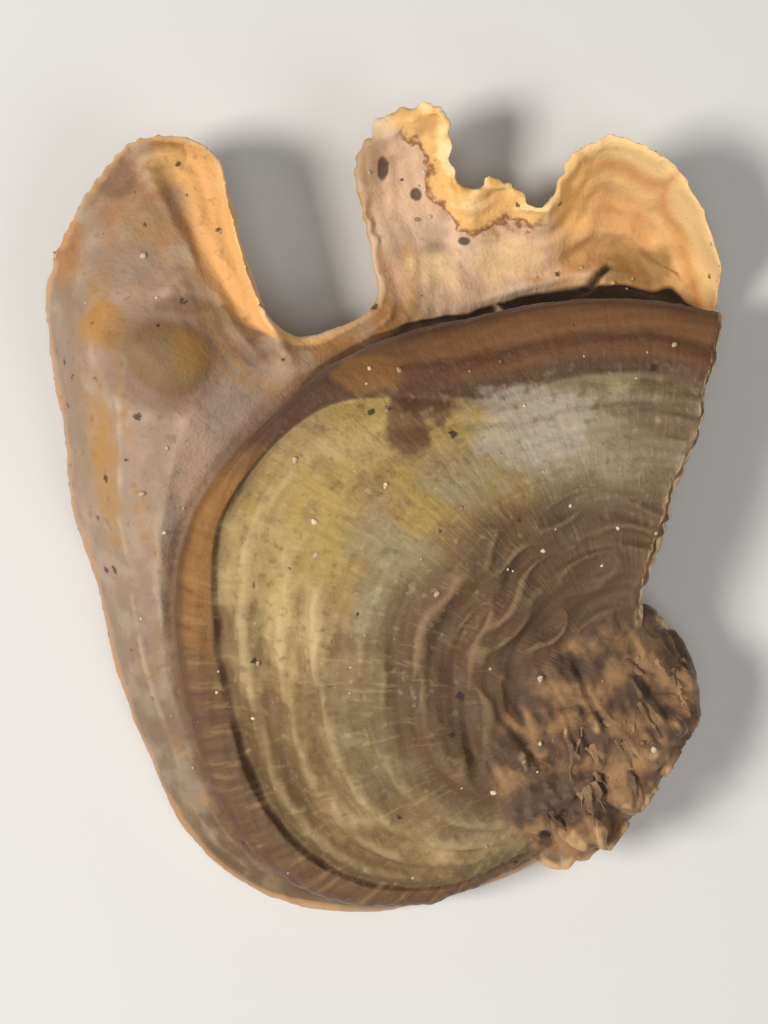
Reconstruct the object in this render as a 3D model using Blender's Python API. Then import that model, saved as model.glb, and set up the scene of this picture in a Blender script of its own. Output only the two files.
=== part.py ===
"""Turkey tail fungus: one dried bracket, lying on its pore side.

The bracket is one grown piece. Its old cap spreads from the core like a fan, with rings and a raised
rim. The young growth comes out from under the rim as a thin, lobed margin. One side is broken off, and
the torn foot at the core is cut flat where the bracket was taken off its wood. Sizes are in millimetres
and measured from the core, with +X to the right and +Y up as one looks down on the cap, and heights are
above the ground. Angles are in degrees from +X.
"""

import math

import bmesh
import bpy
from mathutils import Matrix, Vector, noise

MM = 0.001
NODE = "cap"

# The old cap's rim: angle, radius, height of the middle of the flesh.
RIM = [
    (75.0, 14.9, 4.3),
    (90.0, 15.1, 4.2),
    (103.0, 15.4, 4.0),
    (113.0, 15.7, 3.9),
    (121.0, 16.3, 3.9),
    (132.0, 17.1, 4.1),
    (141.0, 17.5, 4.2),
    (149.0, 17.9, 4.0),
    (157.0, 18.3, 3.7),
    (163.0, 18.3, 3.4),
    (170.0, 18.0, 3.1),
    (184.0, 17.2, 2.7),
    (197.0, 16.6, 2.5),
    (210.0, 15.2, 2.4),
    (221.0, 13.0, 2.4),
    (231.0, 10.2, 2.5),
    (240.0, 7.2, 2.6),
    (248.0, 4.8, 2.6),
]

# The inner line of the rim's band: angle, share of the way from the core to the rim.
BAND = [
    (75.0, 0.79),
    (90.0, 0.81),
    (104.0, 0.80),
    (117.0, 0.79),
    (127.0, 0.86),
    (138.0, 0.945),
    (154.0, 0.95),
    (169.0, 0.915),
    (248.0, 0.905),
]

# The young margin: x and y of its edge, height of the edge, height halfway out from the rim, and the
# angle on the rim that this stretch grew out from.
MARGIN = [
    (4.5, 15.0, 1.9, 1.6, 75.0),
    (3.5, 16.6, 3.6, 1.1, 77.5),
    (2.7, 18.5, 5.0, 0.6, 80.5),
    (1.2, 20.4, 5.7, 0.3, 84.5),
    (-0.9, 21.4, 5.5, 0.3, 89.5),
    (-2.6, 20.5, 4.4, 0.6, 95.0),
    (-3.3, 19.1, 3.3, 0.9, 99.5),
    (-4.1, 19.1, 3.1, 1.1, 103.5),
    (-4.5, 19.9, 3.4, 1.3, 106.5),
    (-5.6, 20.1, 3.4, 1.4, 108.5),
    (-6.3, 19.4, 3.2, 1.5, 110.3),
    (-6.8, 20.1, 3.6, 1.7, 113.2),
    (-6.9, 21.3, 4.1, 1.9, 115.2),
    (-7.2, 22.8, 4.5, 2.0, 116.6),
    (-8.4, 22.7, 4.3, 2.1, 117.7),
    (-9.8, 22.2, 4.0, 2.3, 118.7),
    (-10.9, 21.2, 3.6, 2.4, 119.7),
    (-10.6, 18.8, 3.1, 2.3, 120.6),
    (-10.0, 16.6, 2.7, 2.4, 121.6),
    (-10.0, 15.1, 2.7, 2.7, 123.4),
    (-11.3, 14.2, 3.1, 3.0, 127.5),
    (-12.9, 13.7, 3.6, 3.5, 132.5),
    (-14.2, 14.7, 4.3, 4.0, 135.5),
    (-15.1, 16.6, 4.9, 4.5, 137.2),
    (-15.6, 18.8, 5.1, 4.7, 138.6),
    (-15.9, 20.5, 4.9, 4.6, 140.0),
    (-17.2, 21.5, 4.3, 4.6, 141.5),
    (-19.3, 21.4, 3.9, 4.9, 143.3),
    (-20.8, 20.0, 3.5, 5.3, 145.5),
    (-22.0, 18.2, 3.1, 5.5, 147.8),
    (-22.9, 16.0, 2.6, 5.6, 150.0),
    (-22.9, 13.4, 1.9, 5.2, 152.8),
    (-22.4, 10.4, 1.2, 4.5, 156.0),
    (-22.1, 7.0, 0.5, 3.7, 160.5),
    (-21.2, 4.2, 0.05, 2.9, 165.5),
    (-20.4, 0.6, 0.2, 2.2, 173.0),
    (-19.2, -2.5, 0.1, 1.6, 183.0),
    (-17.8, -5.6, 0.05, 1.2, 195.0),
    (-15.6, -7.7, 0.4, 1.2, 206.0),
    (-12.8, -8.8, 0.9, 1.4, 214.5),
    (-9.8, -8.9, 1.1, 1.5, 223.0),
    (-6.8, -8.3, 1.2, 1.6, 231.5),
    (-4.2, -7.3, 1.4, 1.7, 240.0),
    (-2.1, -5.7, 1.6, 1.8, 248.0),
]
STEPS_PER_STRETCH = 2

# Rings inside the band's inner line: share of the way from the core to that line, and relief.
RINGS = [
    (0.11, 0.0),
    (0.22, 0.04),
    (0.30, -0.10),
    (0.37, 0.16),
    (0.44, -0.14),
    (0.50, 0.13),
    (0.56, -0.10),
    (0.62, 0.12),
    (0.67, -0.11),
    (0.72, 0.12),
    (0.77, -0.12),
    (0.82, 0.14),
    (0.87, -0.12),
    (0.93, 0.10),
    (1.00, -0.24),
]
# Rounds of the raised band: share of its width, and relief.
BAND_ROUNDS = [(0.30, 0.14), (0.70, 0.16)]
# Ripples on the young margin: share of the way from the rim to the edge, and relief.
RIPPLES = [
    (0.05, -0.04),
    (0.22, 0.06),
    (0.38, -0.05),
    (0.54, 0.06),
    (0.70, -0.05),
    (0.85, 0.06),
    (0.96, 0.0),
]
UNDERSIDE_OUT = [0.97, 0.82, 0.60, 0.36, 0.10]
UNDERSIDE_IN = [0.92, 0.76, 0.60, 0.44, 0.28, 0.11]

# The old cap's heights: over the core, of the crown halfway out, of the folds near the core, and of the
# slow rise and fall round the cap. The folds fade at FOLD_REACH of the way out.
CORE_HEIGHT = 4.1
CROWN = 1.5
CROWN_POWER = 1.3
FOLD = 0.22
FOLD_REACH = 0.5
FOLDS_ROUND = 6.0
FOLDS_OUT = 14.0
SWAY = 0.2
SWAYS_ROUND = 5.0
USUAL_BAND = 0.89

# Thickness of the old cap, of the young growth at the rim, and of its edge.
CAP_FLESH = 1.1
YOUNG_FLESH = 1.0
EDGE_FLESH = 0.5
# The rounded rim: how far it bulges as a share of the radius, and its upper and lower corners.
LIP = 0.018
LIP_TOP = 0.46
LIP_BOTTOM = -0.35

# The young growth at the rim: angle, depth below the cap's middle, reach of the slot between the two.
PARTING = [
    (75.0, 2.3, 1.6),
    (90.0, 2.6, 2.2),
    (108.0, 2.5, 2.0),
    (118.0, 1.8, 1.2),
    (127.0, 1.05, 0.4),
    (138.0, 0.8, 0.2),
    (248.0, 0.8, 0.2),
]

# The broken side, from the margin to the core, and how far its wall leans out over the core's height.
BREAK = [
    (3.9, 18.6),
    (3.6, 16.9),
    (3.35, 15.2),
    (3.4, 14.2),
    (3.1, 12.6),
    (2.85, 11.9),
    (2.6, 9.9),
    (1.95, 8.6),
    (1.5, 7.7),
    (1.3, 6.7),
    (0.85, 5.5),
    (0.4, 4.1),
    (0.2, 2.9),
    (0.7, 0.8),
]
BREAK_LEAN = 0.6

# The flat cut where the foot left the wood, the foot's radii from its centre (towards the cut, along it
# and upwards), its reach under the cap, and the relief of its lumps and furrows.
CUT_ANGLE = -35.0
CUT_DISTANCE = 2.8
FOOT_CENTRE = (-1.3, -1.8, 2.75)
FOOT_RADII = (3.4, 5.0, 3.0)
FOOT_REACH = 5.2
FOOT_LUMP = 0.6
LUMP_GRAIN = 2.0
FURROW = 0.5
FURROW_GRAIN = (1.2, 6.0, 4.0)

# Pits beside the core.
PIT_RADII = (0.8, 0.55, 0.35)
PITS = [(-2.7, -0.6, 5.8), (-3.6, -2.2, 5.6)]

# Torn flakes on the foot: x, y, z, length, lift in degrees.
FLAKES = [
    (-3.3, -6.1, 3.5, 1.3, 20.0),
    (-2.2, -5.0, 5.0, 1.4, 30.0),
    (-1.0, -5.3, 4.3, 1.3, 14.0),
    (0.1, -3.9, 4.8, 1.4, 32.0),
    (1.0, -2.3, 4.6, 1.2, 20.0),
    (1.3, -0.4, 4.3, 1.2, 28.0),
]
FLAKE_WIDTH = 0.7
FLAKE_THICKNESS = 0.32

CUTTER_SIZE = 80.0
SMOOTH_UP_TO = 28.0


def column(rows, index):
    return [row[index] for row in rows]


def smooth_at(x, xs, ys):
    """The value at x of a smooth curve through the points (xs, ys)."""
    last = len(xs) - 1
    if x <= xs[0]:
        return ys[0]
    if x >= xs[last]:
        return ys[last]
    k = max(i for i in range(last) if xs[i] <= x)

    def slope(i):
        before, after = max(i - 1, 0), min(i + 1, last)
        return (ys[after] - ys[before]) / (xs[after] - xs[before])

    span = xs[k + 1] - xs[k]
    t = (x - xs[k]) / span
    level = (2 * t**3 - 3 * t**2 + 1) * ys[k] + (3 * t**2 - 2 * t**3) * ys[k + 1]
    return level + span * ((t**3 - 2 * t**2 + t) * slope(k) + (t**3 - t**2) * slope(k + 1))


def from_angle(rows, angle, index):
    """A column of a table whose first column is an angle."""
    return smooth_at(angle, column(rows, 0), column(rows, index))


def along_margin(position, index):
    """A column of MARGIN at a position counted in rows."""
    return smooth_at(position, list(range(len(MARGIN))), column(MARGIN, index))


def cap_height(share, angle):
    """Height of the middle of the old cap's flesh, at a share of the way from the core to the rim."""
    rim = from_angle(RIM, angle, 2)
    level = CORE_HEIGHT + (rim - CORE_HEIGHT) * share
    crown = CROWN * max(math.sin(math.pi * min(share, 1.0)), 0.0) ** CROWN_POWER
    turn = math.radians(angle)
    fade = math.exp(-((share / FOLD_REACH) ** 2))
    fold = FOLD * fade * math.sin(FOLDS_ROUND * turn + FOLDS_OUT * share)
    sway = SWAY * share * math.sin(SWAYS_ROUND * turn + 1.0)
    return level + crown + fold + sway


def ring_share(ring, angle):
    """Rings near the rim follow its band, and those near the core are round."""
    return ring * (USUAL_BAND + (from_angle(BAND, angle, 1) - USUAL_BAND) * ring**3)


def section(position):
    """One slice of the bracket as a closed loop of points: from the core over the cap, round its rim,
    into the slot under it, over the young growth to the edge, and back along the underside."""
    angle = along_margin(position, 4)
    turn = math.radians(angle)
    rim_radius = from_angle(RIM, angle, 1)
    rim_height = cap_height(1.0, angle)
    band = ring_share(1.0, angle)
    parting = from_angle(PARTING, angle, 1)
    slot = from_angle(PARTING, angle, 2) / rim_radius
    rim = Vector((math.cos(turn), math.sin(turn))) * rim_radius
    edge = Vector((along_margin(position, 0), along_margin(position, 1)))
    root_height = rim_height - parting
    half_height = along_margin(position, 3)
    edge_height = along_margin(position, 2)

    def cap_point(share, offset):
        where = rim * share
        return (where.x, where.y, cap_height(share, angle) + offset)

    def young_point(share, side, relief=0.0):
        where = rim.lerp(edge, share)
        near = root_height * (1 - share) * (1 - 2 * share)
        middle = 4 * half_height * share * (1 - share)
        far = edge_height * share * (2 * share - 1)
        flesh = YOUNG_FLESH + (EDGE_FLESH - YOUNG_FLESH) * share
        return (where.x, where.y, near + middle + far + side * flesh / 2 + relief)

    loop = [cap_point(ring_share(ring, angle), CAP_FLESH / 2 + relief) for ring, relief in RINGS]
    loop += [cap_point(band + (1 - band) * share, CAP_FLESH / 2 + relief) for share, relief in BAND_ROUNDS]
    loop.append(cap_point(1 - LIP / 3, LIP_TOP))
    loop.append(cap_point(1 + LIP / 2, 0.0))
    loop.append(cap_point(1 - LIP / 2, LIP_BOTTOM))
    inside = rim * (1 - slot)
    slot_height = (rim_height + LIP_BOTTOM + root_height + YOUNG_FLESH / 2) / 2
    loop.append((inside.x, inside.y, slot_height))
    loop += [young_point(share, 1, relief) for share, relief in RIPPLES]
    tip = edge + (edge - rim).normalized() * EDGE_FLESH / 3
    loop.append((tip.x, tip.y, edge_height))
    loop += [young_point(share, -1) for share in UNDERSIDE_OUT]
    for share in UNDERSIDE_IN:
        drop = CAP_FLESH / 2 + (parting + YOUNG_FLESH / 2 - CAP_FLESH / 2) * share**2
        loop.append(cap_point(share, -drop))
    return loop


def fan():
    """The bracket's body: neighbouring slices joined by faces, and the first and last slice closed."""
    steps = (len(MARGIN) - 1) * STEPS_PER_STRETCH
    mesh = bmesh.new()
    rows = []
    for k in range(steps + 1):
        rows.append([mesh.verts.new(point) for point in section(k / STEPS_PER_STRETCH)])
    count = len(rows[0])
    for left, right in zip(rows, rows[1:]):
        for k in range(count):
            after = (k + 1) % count
            mesh.faces.new((left[k], left[after], right[after], right[k]))
    mesh.faces.new(reversed(rows[0]))
    mesh.faces.new(rows[-1])
    bmesh.ops.triangulate(mesh, faces=mesh.faces[:])
    bmesh.ops.recalc_face_normals(mesh, faces=mesh.faces[:])
    return mesh


def broken_off():
    """What is missing beside the broken side: a block whose near wall is the ragged break."""
    mesh = bmesh.new()
    far = CUTTER_SIZE / 2
    outline = BREAK + [(far, BREAK[-1][1]), (far, BREAK[0][1])]
    top = mesh.faces.new([mesh.verts.new((x, y, 2 * CORE_HEIGHT)) for x, y in outline])
    side = bmesh.ops.extrude_face_region(mesh, geom=[top])
    lower = [item for item in side["geom"] if isinstance(item, bmesh.types.BMVert)]
    bmesh.ops.translate(mesh, verts=lower, vec=(4 * BREAK_LEAN, 0.0, -4 * CORE_HEIGHT))
    mesh.transform(Matrix.Translation((-BREAK_LEAN, 0.0, 0.0)))
    bmesh.ops.recalc_face_normals(mesh, faces=mesh.faces[:])
    return mesh


def foot():
    """The torn, lumpy foot under the core, with furrows that run towards the cut."""
    mesh = bmesh.new()
    bmesh.ops.create_icosphere(mesh, subdivisions=4, radius=1.0)
    for vert in mesh.verts:
        direction = vert.co.copy()
        across = Vector(d * grain for d, grain in zip(direction, FURROW_GRAIN))
        lump = noise.noise(direction * LUMP_GRAIN) + noise.noise(direction * 2 * LUMP_GRAIN) / 2
        swell = lump * FOOT_LUMP + noise.noise(across) * FURROW
        reach = FOOT_RADII[0] if direction.x > 0 else FOOT_REACH
        radii = (reach, FOOT_RADII[1], FOOT_RADII[2])
        vert.co = Vector(d * (r + swell) for d, r in zip(direction, radii))
    turn = Matrix.Rotation(math.radians(CUT_ANGLE), 4, "Z")
    mesh.transform(Matrix.Translation(FOOT_CENTRE) @ turn)
    return mesh


def blob(radii, turn, where, detail):
    mesh = bmesh.new()
    bmesh.ops.create_icosphere(mesh, subdivisions=detail, radius=1.0)
    mesh.transform(Matrix.Translation(where) @ turn @ Matrix.Diagonal((*radii, 1.0)))
    return mesh


def flake(x, y, z, length, lift):
    turn = Matrix.Rotation(math.radians(CUT_ANGLE), 4, "Z") @ Matrix.Rotation(math.radians(-lift), 4, "Y")
    return blob((length, FLAKE_WIDTH, FLAKE_THICKNESS), turn, (x, y, z), 2)


def pit(where):
    return blob(PIT_RADII, Matrix.Identity(4), where, 3)


def slab(where, turn):
    mesh = bmesh.new()
    bmesh.ops.create_cube(mesh, size=CUTTER_SIZE)
    mesh.transform(turn @ Matrix.Translation(where))
    return mesh


def wood():
    """The wood's side of the flat cut."""
    turn = Matrix.Rotation(math.radians(CUT_ANGLE), 4, "Z")
    return slab((CUT_DISTANCE + CUTTER_SIZE / 2, 0.0, 0.0), turn)


def ground():
    return slab((0.0, 0.0, -CUTTER_SIZE / 2), Matrix.Identity(4))


def place(mesh, name):
    """An object made from a mesh in millimetres, with the core over its origin."""
    mesh.transform(Matrix.Scale(MM, 4))
    data = bpy.data.meshes.new(name)
    mesh.to_mesh(data)
    mesh.free()
    data.shade_smooth()
    data.set_sharp_from_angle(angle=math.radians(SMOOTH_UP_TO))
    thing = bpy.data.objects.new(name, data)
    bpy.context.scene.collection.objects.link(thing)
    return thing


def combine(thing, mesh, name, operation):
    """Joins another closed mesh to a thing, or takes it away. The other one rides along as a hidden tool."""
    other = place(mesh, name)
    other.parent = thing
    other.hide_render = True
    other.display_type = "WIRE"
    step = thing.modifiers.new(name, "BOOLEAN")
    step.operation = operation
    step.object = other


def flesh_material():
    material = bpy.data.materials.new("dried_flesh")
    material.use_nodes = True
    shader = material.node_tree.nodes["Principled BSDF"]
    shader.inputs["Base Color"].default_value = (0.36, 0.25, 0.13, 1.0)
    shader.inputs["Roughness"].default_value = 0.8
    shader.inputs["Metallic"].default_value = 0.0
    return material


def stand_over_origin(thing):
    """Moves a thing so that the middle of its footprint is at the origin."""
    bpy.context.view_layer.update()
    finished = thing.evaluated_get(bpy.context.evaluated_depsgraph_get())
    corners = [Vector(corner) for corner in finished.bound_box]
    low = Vector(min(column(corners, axis)) for axis in range(3))
    high = Vector(max(column(corners, axis)) for axis in range(3))
    thing.location = (-(low.x + high.x) / 2, -(low.y + high.y) / 2, -low.z)


def build():
    for old in list(bpy.data.objects):
        bpy.data.objects.remove(old)
    cap = place(fan(), NODE)
    cap.data.materials.append(flesh_material())
    combine(cap, broken_off(), "broken_off", "DIFFERENCE")
    combine(cap, foot(), "foot", "UNION")
    for number, values in enumerate(FLAKES):
        combine(cap, flake(*values), "flake_%d" % number, "UNION")
    for number, where in enumerate(PITS):
        combine(cap, pit(where), "pit_%d" % number, "DIFFERENCE")
    combine(cap, wood(), "wood", "DIFFERENCE")
    combine(cap, ground(), "ground", "DIFFERENCE")
    stand_over_origin(cap)


build()
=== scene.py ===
# %% [markdown]
# # A dried turkey tail bracket
# A turkey tail is a thin, tough fungus that grows out of dead wood like a shelf. This dried one has an old
# cap with rings of grey, olive, ochre and brown, and a younger margin that grew out from under its rim in
# lobes. This lesson makes a fine mesh of the solid, gives it relief, and colours it by the way it grew.

import math
import random

import bpy
import numpy as np
from mathutils import Matrix, Vector, noise
from mathutils.bvhtree import BVHTree
from mathutils.kdtree import KDTree


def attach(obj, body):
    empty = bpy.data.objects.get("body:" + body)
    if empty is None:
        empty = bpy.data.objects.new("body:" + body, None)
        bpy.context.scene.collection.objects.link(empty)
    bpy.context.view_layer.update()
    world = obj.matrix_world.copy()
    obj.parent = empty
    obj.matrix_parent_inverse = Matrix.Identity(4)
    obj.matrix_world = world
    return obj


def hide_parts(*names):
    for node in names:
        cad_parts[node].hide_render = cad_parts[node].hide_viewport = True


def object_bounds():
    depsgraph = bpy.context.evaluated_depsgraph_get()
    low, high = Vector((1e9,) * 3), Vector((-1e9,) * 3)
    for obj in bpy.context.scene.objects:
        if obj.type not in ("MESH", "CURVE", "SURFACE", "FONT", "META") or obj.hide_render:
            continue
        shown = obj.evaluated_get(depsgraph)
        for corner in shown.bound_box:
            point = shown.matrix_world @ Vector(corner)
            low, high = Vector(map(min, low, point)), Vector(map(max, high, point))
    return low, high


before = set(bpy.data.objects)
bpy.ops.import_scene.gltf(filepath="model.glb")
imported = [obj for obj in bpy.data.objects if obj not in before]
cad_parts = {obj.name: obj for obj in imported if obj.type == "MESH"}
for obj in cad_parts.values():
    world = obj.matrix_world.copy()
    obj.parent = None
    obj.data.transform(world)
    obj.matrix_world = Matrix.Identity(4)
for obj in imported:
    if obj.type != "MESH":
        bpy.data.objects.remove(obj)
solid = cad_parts["cap"]
solid_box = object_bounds()
MM = 0.001
low, high = solid_box
print("The solid is", [round((b - a) / MM, 1) for a, b in zip(low, high)], "mm")

# %% [markdown]
# ## Camera
# The bracket lies on its pore side, so the camera looks straight down on the cap. A long lens keeps the
# outline nearly free of perspective.

# %% Camera
LENS = 85
SENSOR = 36
FRAME_HEIGHT = 39.5 * MM
CAP_LEVEL = 4.5 * MM

view = bpy.data.cameras.new("camera")
view.lens, view.sensor_width = LENS, SENSOR
view.clip_start, view.clip_end = 0.001, 20
camera = bpy.data.objects.new("camera", view)
camera.location = (0, 0, CAP_LEVEL + FRAME_HEIGHT * LENS / SENSOR)
bpy.context.scene.collection.objects.link(camera)
bpy.context.scene.camera = camera
print("The camera hangs", round(camera.location.z / MM), "mm above the floor")

# %% [markdown]
# ## Floor and light
# The floor is a pale plane. A soft lamp stands low on the left to show the ridges, with weaker ones on the
# right and above, and a pale surround. The camera doesn't see the lamps, so every side can be looked at.
# The plain view transform keeps the browns rich.

# %% Floor
FLOOR_SIZE = 3


def deselect():
    """Leaves nothing selected."""
    bpy.ops.object.select_all(action="DESELECT")


def feed(inputs, sources):
    """Feeds inputs by name or number. An output is connected, and a plain value is set."""
    for key, source in sources.items():
        if isinstance(source, bpy.types.NodeSocket):
            inputs[key].id_data.links.new(source, inputs[key])
        else:
            inputs[key].default_value = source


deselect()
bpy.ops.mesh.primitive_plane_add(size=FLOOR_SIZE)
floor = bpy.context.active_object
floor.name = "floor"
paper = bpy.data.materials.new("pale_floor")
paper.use_nodes = True
paper_look = {"Base Color": (0.72, 0.71, 0.69, 1), "Roughness": 0.9}
feed(paper.node_tree.nodes["Principled BSDF"].inputs, paper_look)
floor.data.materials.append(paper)
print("The floor is", floor.dimensions.x, "m wide")


# %% Lamps and surround
def lamp(name, place, size, power, colour):
    """A soft square lamp at a place, turned to the middle of the bracket."""
    data = bpy.data.lights.new(name, "AREA")
    data.size, data.energy, data.color = size, power, colour
    thing = bpy.data.objects.new(name, data)
    thing.location = place
    thing.rotation_euler = (-Vector(place)).to_track_quat("-Z", "Y").to_euler()
    thing.visible_camera = False
    bpy.context.scene.collection.objects.link(thing)
    return thing


lamps = [
    lamp("key_lamp", (-0.17, -0.03, 0.21), 0.08, 0.66, (1, 0.96, 0.9)),
    lamp("side_lamp", (0.16, -0.1, 0.18), 0.14, 0.15, (0.97, 0.98, 1)),
    lamp("top_lamp", (0, -0.04, 0.3), 0.12, 0.15, (1, 1, 1)),
]
surround = bpy.data.worlds.new("surround")
surround.use_nodes = True
feed(surround.node_tree.nodes["Background"].inputs, {"Color": (0.95, 0.96, 1, 1), "Strength": 0.13})
bpy.context.scene.world = surround
bpy.context.scene.view_settings.view_transform = "Standard"
print("Lamps:", [thing.name for thing in lamps])

# %% [markdown]
# ## A fine mesh from the solid
# The solid's triangles are too coarse for skin. Merged, they are one closed body, and a voxel remesh lays
# small even faces over it, about nine to the millimetre. A smoothing pass takes out the facets. The curled
# margin is so thin that the voxels would tear it, so the body is blown up by a hair before, and let down
# again after.

# %% Copy, merge, remesh and smooth
VOXEL = 0.116 * MM
MERGE = 0.0005 * MM
SMOOTHINGS = 7
BLOWN_UP = 0.05 * MM


def choose(thing):
    """Makes one object the only selected and active one."""
    deselect()
    thing.select_set(True)
    bpy.context.view_layer.objects.active = thing


def finish_modifier(thing, kind, **settings):
    """Adds a modifier with these settings and applies it at once."""
    step = thing.modifiers.new(kind, kind)
    for name, value in settings.items():
        setattr(step, name, value)
    choose(thing)
    bpy.ops.object.modifier_apply(modifier=step.name)


bracket = bpy.data.objects.new("bracket", solid.data.copy())
bpy.context.scene.collection.objects.link(bracket)
choose(bracket)
bpy.ops.object.mode_set(mode="EDIT")
bpy.ops.mesh.select_all(action="SELECT")
bpy.ops.mesh.remove_doubles(threshold=MERGE)
bpy.ops.object.mode_set(mode="OBJECT")
bracket.data.materials.clear()
finish_modifier(bracket, "DISPLACE", strength=BLOWN_UP, mid_level=0)
finish_modifier(bracket, "REMESH", mode="VOXEL", voxel_size=VOXEL, adaptivity=0)
finish_modifier(bracket, "SMOOTH", factor=0.5, iterations=SMOOTHINGS)
finish_modifier(bracket, "DISPLACE", strength=-BLOWN_UP, mid_level=0)
print("The fine mesh has", len(bracket.data.polygons), "faces")

# %% [markdown]
# ## How it grew
# Rings lie at equal shares of the way from the core to the rim, and fibres run outwards. So each point
# first learns its turn round the core in degrees, and its share of the way to the old cap's rim. The rim's
# distance from the core is a smooth curve through a few measured points, and so is the place where the
# rim's own band begins.

# %% Growth map: turn and share
CORE = (9.648, -6.998)
RIM_TURN = [75, 90, 103, 113, 121, 132, 141, 149, 157, 163, 170, 184, 197, 210, 221, 231, 240, 248]
RIM_RADIUS = [14.9, 15.1, 15.4, 15.7, 16.3, 17.1, 17.5, 17.9, 18.3]
RIM_RADIUS += [18.3, 18, 17.2, 16.6, 15.2, 13, 10.2, 7.2, 4.8]
BAND_TURN = [75, 90, 104, 117, 127, 138, 154, 169, 248]
BAND_SHARE = [0.79, 0.81, 0.8, 0.79, 0.86, 0.945, 0.95, 0.915, 0.905]


def smooth_through(places, levels, at):
    """Values of a smooth curve through the given points, level beyond its ends."""
    places = np.array(places, float)
    levels = np.array(levels, float)
    at = np.clip(at, places[0], places[-1])
    k = np.clip(np.searchsorted(places, at, side="right") - 1, 0, len(places) - 2)
    before = np.maximum(np.arange(len(places)) - 1, 0)
    after = np.minimum(np.arange(len(places)) + 1, len(places) - 1)
    slope = (levels[after] - levels[before]) / (places[after] - places[before])
    span = places[k + 1] - places[k]
    t = (at - places[k]) / span
    level = (2 * t**3 - 3 * t**2 + 1) * levels[k] + (3 * t**2 - 2 * t**3) * levels[k + 1]
    return level + span * ((t**3 - 2 * t**2 + t) * slope[k] + (t**3 - t**2) * slope[k + 1])


def point_values(kind):
    """Places or normals of the bracket's points, as rows of three numbers."""
    values = np.empty(len(bracket.data.vertices) * 3)
    bracket.data.vertices.foreach_get(kind, values)
    return values.reshape(-1, 3)


points = point_values("co") / MM
normals = point_values("normal")
count = len(points)
across = points[:, 0] - CORE[0]
along = points[:, 1] - CORE[1]
radius = np.hypot(across, along)
turn = np.degrees(np.arctan2(along, across)) % 360
rim = smooth_through(RIM_TURN, RIM_RADIUS, turn)
share = radius / rim
band = smooth_through(BAND_TURN, BAND_SHARE, turn)
in_band = (share - band) / (1 - band)
print("Points:", count, "of which inside the rim:", (share < 1).sum())

# %% [markdown]
# ## Old cap, young growth and pore side
# Each point also learns which side it belongs to. It is on the pore side when it faces down and nothing of
# the bracket lies below it. It is young growth when it lies outside the rim, or in the slot under it. A ray
# sent up or down tells whether something is in the way.

# %% Which side a point is on
LIFT_OFF = 0.02
OUTSIDE_RIM = 1.006

body_tree = BVHTree.FromObject(bracket, bpy.context.evaluated_depsgraph_get())


def open_towards(direction):
    """For each point, whether nothing of the bracket lies in a direction."""
    way = Vector((0, 0, direction))
    starts = ((points + normals * LIFT_OFF) * MM).tolist()
    return np.array([body_tree.ray_cast(start, way)[0] is None for start in starts])


def rise(a, b, value):
    """0 up to a, 1 from b on, and a soft step between. With b below a it goes the other way."""
    t = np.clip((value - a) / (b - a), 0, 1)
    return t * t * (3 - 2 * t)


sky = open_towards(1)
ground = open_towards(-1)
facing_up = normals[:, 2]
under = (~sky) & ground & (facing_up < 0.2)
in_slot = (~sky) & (~ground) & (facing_up > -0.2)
young = (share > OUTSIDE_RIM) | in_slot | ((~sky) & (facing_up > 0.2))
print("Points on the pore side:", under.sum(), "and on the young growth:", young.sum())

# %% [markdown]
# ## The edge, the foot and the broken side
# The thin margin is paler than the skin, and the torn places are rough. So each point also learns how far
# it is from the outer edge, and how much it belongs to the torn foot or the broken side. The edge's own
# points face sideways, with open air above and below.

# %% Edge, foot and break
FOOT = (-1.3, -1.8)
FOOT_SPAN = (4, 5.2)
CUT_TURN = math.radians(-35)
CUT_DISTANCE = 2.8
BREAK_LINE = [(2.4, 0.2), (4.1, 0.4), (5.5, 0.85), (6.7, 1.3), (7.7, 1.5), (8.6, 1.95), (9.9, 2.6)]
BREAK_LINE += [(11.9, 2.85), (12.6, 3.1), (14.2, 3.4), (15.2, 3.35)]


def along_turn(x, y, angle):
    """A place as measured along an angle, and across it."""
    return x * math.cos(angle) + y * math.sin(angle), -x * math.sin(angle) + y * math.cos(angle)


def towards_cut(x, y):
    """How far a place lies from the core towards the flat cut, in millimetres."""
    return along_turn(x - CORE[0], y - CORE[1], CUT_TURN)[0]


sideways = np.abs(facing_up) < 0.45
outer_edge = sideways & sky & ground
edge_points = KDTree(int(outer_edge.sum()))
for number, place in enumerate(points[outer_edge]):
    edge_points.insert((place[0], place[1], 0), number)
edge_points.balance()
nearest = [edge_points.find((x, y, 0)) for x, y in points[:, :2].tolist()]
from_edge = np.array([found[2] for found in nearest])
edge_way = normals[outer_edge][[found[1] for found in nearest]][:, :2]

foot_across, foot_along = along_turn(across - FOOT[0], along - FOOT[1], CUT_TURN)
foot = rise(1.15, 0.75, np.hypot(foot_across / FOOT_SPAN[0], foot_along / FOOT_SPAN[1]))
flat_cut = towards_cut(points[:, 0], points[:, 1]) > CUT_DISTANCE - 0.06
break_across = np.interp(along, [p[0] for p in BREAK_LINE], [p[1] for p in BREAK_LINE])
at_break = (along > BREAK_LINE[0][0]) & (along < BREAK_LINE[-1][0]) & (across > break_across - 0.6)
broken = np.where(at_break, rise(0.35, 0.7, normals[:, 0]), 0)
print("Edge points:", outer_edge.sum(), "on the broken side:", (broken > 0.5).sum())

# %% [markdown]
# ## Layers in the flesh
# A break shows pore tubes below, pale fibrous flesh over them, and a thin dark layer under the skin. Each
# point of the broken side looks up and down through the flesh just behind it, and the two lengths tell its
# level between the pore side and the skin.

# %% Level in the flesh
BEHIND_BREAK = Vector((-0.5, 0, 0))

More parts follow.
